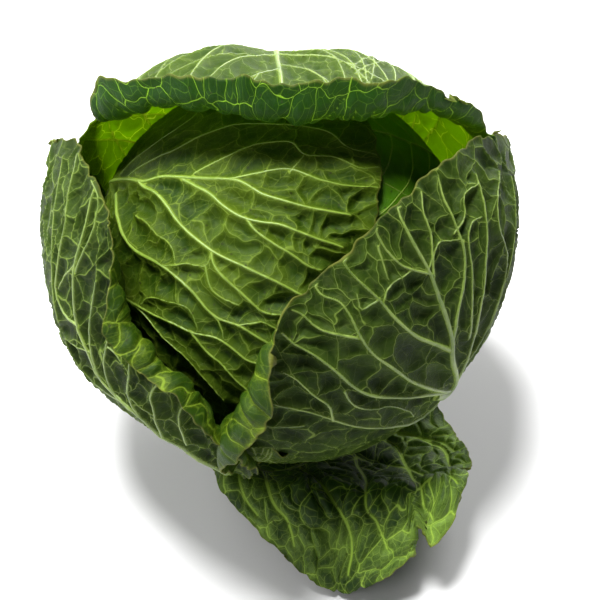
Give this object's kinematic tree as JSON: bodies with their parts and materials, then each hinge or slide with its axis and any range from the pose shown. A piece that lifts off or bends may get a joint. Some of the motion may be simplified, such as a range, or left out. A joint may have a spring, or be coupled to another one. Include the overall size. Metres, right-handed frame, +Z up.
{
  "type": "cabbage head",
  "caption": "Round savoy-type cabbage head on a short cut stalk, wrapped in crinkled leaves, with loose outer leaves that stand open.",
  "frame": {"origin": "middle of the stalk's cut face, on which the head stands", "axes": "+Z up out of the crown, -Y the front where the wrapper leaves part and the heart shows, +X the front's right"},
  "size_m": [0.2133, 0.2095, 0.2156],
  "materials": {
    "stalk_flesh": "pale green-white cut stalk, matt and slightly moist",
    "heart_leaf": "yellow-green crinkled leaf with pale raised veins, soft sheen",
    "outer_leaf": "dark green crinkled leaf, waxy grey-green bloom on the outside, pale veins"
  },
  "bodies": {
    "root": {"stalk": "stalk_flesh", "heart": "heart_leaf", "rear_heart_leaf": "heart_leaf", "front_heart_leaf": "heart_leaf", "crumpled_inner_leaf": "outer_leaf", "hood_leaf": "outer_leaf", "right_wrapper_leaf": "outer_leaf", "left_wrapper_leaf": "outer_leaf", "front_wrapper_leaf": "outer_leaf"}
  },
  "joints": []
}
